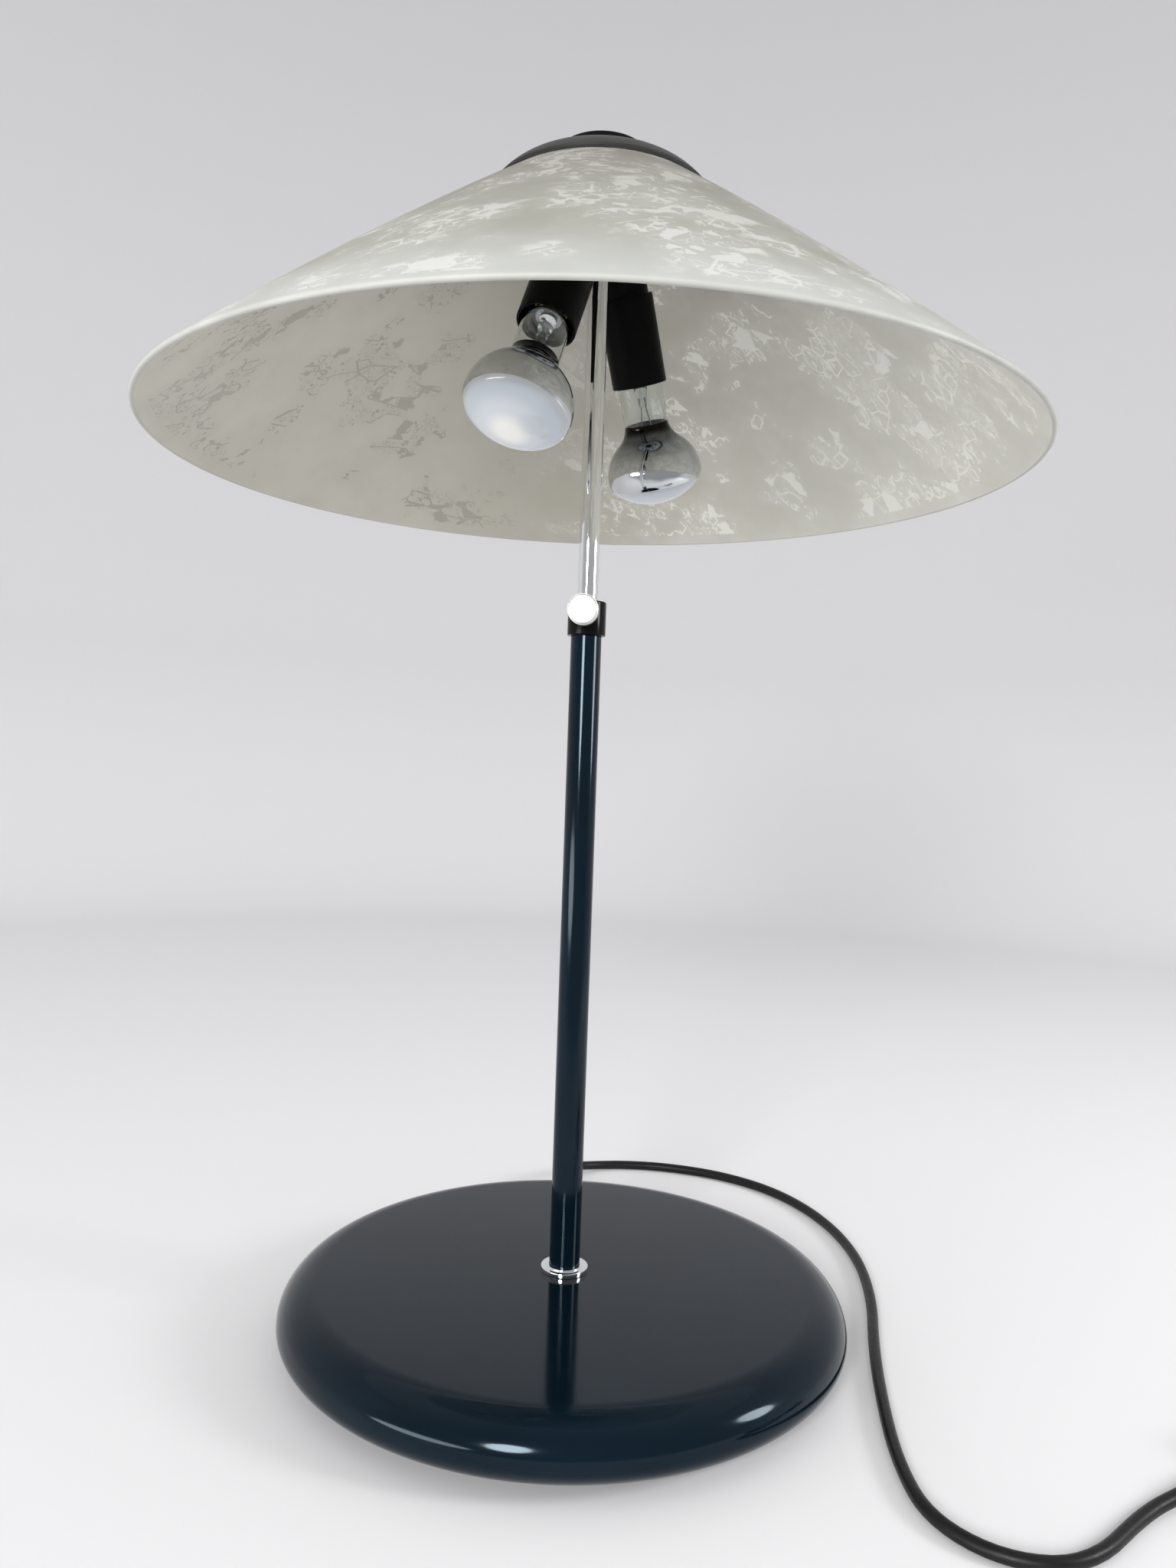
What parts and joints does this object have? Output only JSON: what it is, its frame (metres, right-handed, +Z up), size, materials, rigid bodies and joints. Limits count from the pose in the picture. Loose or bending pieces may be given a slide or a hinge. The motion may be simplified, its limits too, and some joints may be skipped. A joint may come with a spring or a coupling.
{
  "type": "table lamp",
  "caption": "Table lamp with a weighted disc base, a telescopic stem held by a thumb screw, reflector bulbs and a broad cone shade of mottled glass.",
  "frame": {"origin": "centre of the foot pad's underside, below the pole's axis", "axes": "+Z up along the pole; the picture was taken from the -Y side, and +X is to its right"},
  "size_m": [0.623, 0.4449, 0.5776],
  "materials": {
    "navy_lacquer": "high-gloss dark navy lacquer",
    "black_lacquer": "gloss black lacquer",
    "gray_lacquer": "satin gray lacquer",
    "cast_iron": "as cast",
    "zinc_steel": "zinc plated",
    "chrome_plate": "polished",
    "brass": "plain",
    "pin_nickel": "nickel plated",
    "bulb_cap_metal": "plain",
    "holder_plastic": "satin black",
    "switch_plastic": "black",
    "nylon": "natural",
    "cord_vinyl": "black flexible vinyl",
    "lead_insulation": "insulated leads",
    "pad_rubber": "matte black sheet",
    "seal_rubber": "matte",
    "porcelain": "unglazed white",
    "shade_glass": "frosted, mottled with flakes",
    "bulb_glass": "silvered reflector and frosted face"
  },
  "bodies": {
    "base": {"base_cover": "navy_lacquer", "base_weight": "cast_iron", "bottom_plate": "zinc_steel", "foot_pad": "pad_rubber", "plate_screws": "zinc_steel", "pole_nipple": "zinc_steel", "pole_nut": "zinc_steel", "foot_ring": "chrome_plate", "pole_tube": "navy_lacquer", "guide_bush": "nylon", "clamp_collar": "black_lacquer", "cord_gland": "holder_plastic", "strain_relief": "cord_vinyl", "terminal_block": "porcelain", "inner_leads": "lead_insulation", "mains_cord": "cord_vinyl", "switch_base": "switch_plastic", "switch_cover": "switch_plastic", "switch_reliefs": "cord_vinyl", "link_cord": "cord_vinyl", "cord_coil": "cord_vinyl", "cord_tie": "seal_rubber", "tail_cord": "cord_vinyl", "plug_body": "switch_plastic", "plug_pins": "pin_nickel"},
    "clamp_pad": {"clamp_pad": "nylon"},
    "clamp_knob": {"clamp_screw": "chrome_plate", "clamp_knob": "chrome_plate"},
    "stem_guide": {"stem_guide": "nylon"},
    "head": {"stem_tube": "chrome_plate", "guide_clips": "zinc_steel", "bracket_collar": "chrome_plate", "lamp_bracket": "zinc_steel", "stem_nuts": "zinc_steel", "lamp_leads": "lead_insulation", "socket_inserts": "porcelain", "thread_shells": "brass", "holder_nipples": "zinc_steel", "holder_nuts": "zinc_steel", "holder_skirt_left": "holder_plastic", "holder_skirt_right": "holder_plastic", "holder_cap_left": "holder_plastic", "holder_cap_right": "holder_plastic", "glass_carrier": "zinc_steel", "carrier_gasket": "seal_rubber", "glass_shade": "shade_glass", "cap_seal": "seal_rubber", "top_cap": "gray_lacquer"},
    "contact_left": {"center_contact_left": "brass"},
    "contact_right": {"center_contact_right": "brass"},
    "bulb_left": {"bulb_envelope_left": "bulb_glass", "bulb_cap_left": "bulb_cap_metal", "bulb_mount_left": "bulb_glass"},
    "bulb_right": {"bulb_envelope_right": "bulb_glass", "bulb_cap_right": "bulb_cap_metal", "bulb_mount_right": "bulb_glass"},
    "finial_washer": {"finial_washer": "zinc_steel"},
    "finial": {"finial_knob": "holder_plastic", "finial_insert": "brass"},
    "rocker": {"switch_rocker": "switch_plastic"}
  },
  "joints": [
    {"name": "stem_slide", "type": "slide", "parent": "base", "child": "stem_guide", "axis": [0, 0, 1], "range_m": [-0.13, 0.1]},
    {"name": "head_turn", "type": "hinge", "parent": "stem_guide", "child": "head", "pos_m": [0, 0, 0.21], "axis": [0, 0, 1], "range_deg": [-180, 180]},
    {"name": "clamp_travel", "type": "slide", "parent": "base", "child": "clamp_pad", "axis": [-0.1201, -0.9928, 0], "range_m": [0, 0.0011]},
    {"name": "clamp_turn", "type": "hinge", "parent": "clamp_pad", "child": "clamp_knob", "pos_m": [0, 0, 0.3528], "axis": [-0.1201, -0.9928, 0], "range_deg": [0, 360]},
    {"name": "bulb_travel_left", "type": "slide", "parent": "head", "child": "contact_left", "axis": [-0.2268, -0.3715, -0.9003], "range_m": [0, 0.00145]},
    {"name": "bulb_turn_left", "type": "hinge", "parent": "contact_left", "child": "bulb_left", "pos_m": [-0.02316, -0.03794, 0.47704], "axis": [-0.2268, -0.3715, -0.9003], "range_deg": [0, 180]},
    {"name": "bulb_travel_right", "type": "slide", "parent": "head", "child": "contact_right", "axis": [0.2268, 0.3715, -0.9003], "range_m": [0, 0.00145]},
    {"name": "bulb_turn_right", "type": "hinge", "parent": "contact_right", "child": "bulb_right", "pos_m": [0.02316, 0.03794, 0.47704], "axis": [0.2268, 0.3715, -0.9003], "range_deg": [0, 180]},
    {"name": "finial_travel", "type": "slide", "parent": "head", "child": "finial_washer", "axis": [0, 0, 1], "range_m": [0, 0.0011]},
    {"name": "finial_turn", "type": "hinge", "parent": "finial_washer", "child": "finial", "pos_m": [0, 0, 0.57], "axis": [0, 0, 1], "range_deg": [0, 360]},
    {"name": "switch_rock", "type": "hinge", "parent": "base", "child": "rocker", "pos_m": [0.31746, -0.08567, 0.0115], "axis": [-0.4226, 0.9063, 0], "range_deg": [0, 16]}
  ],
  "couplings": [
    {"joint": "clamp_travel", "follows": "clamp_turn", "m_per_rad": 0.00011141},
    {"joint": "bulb_travel_left", "follows": "bulb_turn_left", "m_per_rad": 0.00044881},
    {"joint": "bulb_travel_right", "follows": "bulb_turn_right", "m_per_rad": 0.00044881},
    {"joint": "finial_travel", "follows": "finial_turn", "m_per_rad": 0.00015915}
  ]
}
